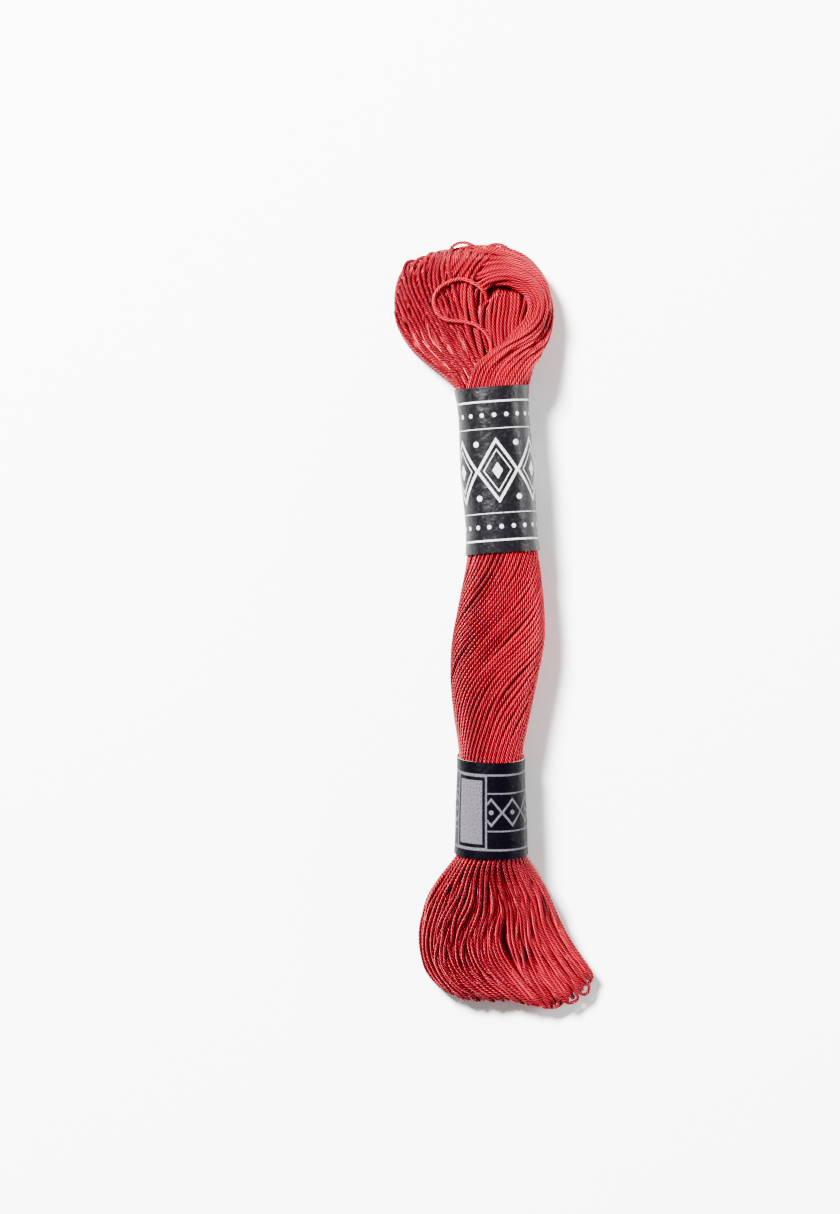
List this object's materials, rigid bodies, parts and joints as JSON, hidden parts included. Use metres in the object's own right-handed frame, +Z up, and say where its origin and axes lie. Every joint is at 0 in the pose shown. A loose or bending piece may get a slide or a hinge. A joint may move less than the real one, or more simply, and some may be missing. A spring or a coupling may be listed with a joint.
{
  "type": "skein of embroidery floss",
  "caption": "Twisted skein of plied cotton thread lying flat, with a round head, a fanned foot, a slack loop of thread and paper bands round its neck.",
  "frame": {"origin": "on the flat underside of the skein, on the table plane, below the middle of its length and width", "axes": "+Z up from the table, +Y along the skein from the fanned foot to the round head, +X to the right when it is seen from above with the head up"},
  "size_m": [0.0408, 0.1585, 0.0154],
  "materials": {
    "thread": "mercerised plied cotton in coral red, with a soft silky sheen along each strand",
    "upper_paper": "near-black coated paper with thin white ruled lines and a plain printed ornament",
    "lower_paper": "near-black coated paper with silver ruled lines, a bare silver panel and a plain ornament"
  },
  "bodies": {
    "root": {"hank": "thread", "slack_loop": "thread", "band_upper": "upper_paper", "band_lower": "lower_paper"}
  },
  "joints": []
}
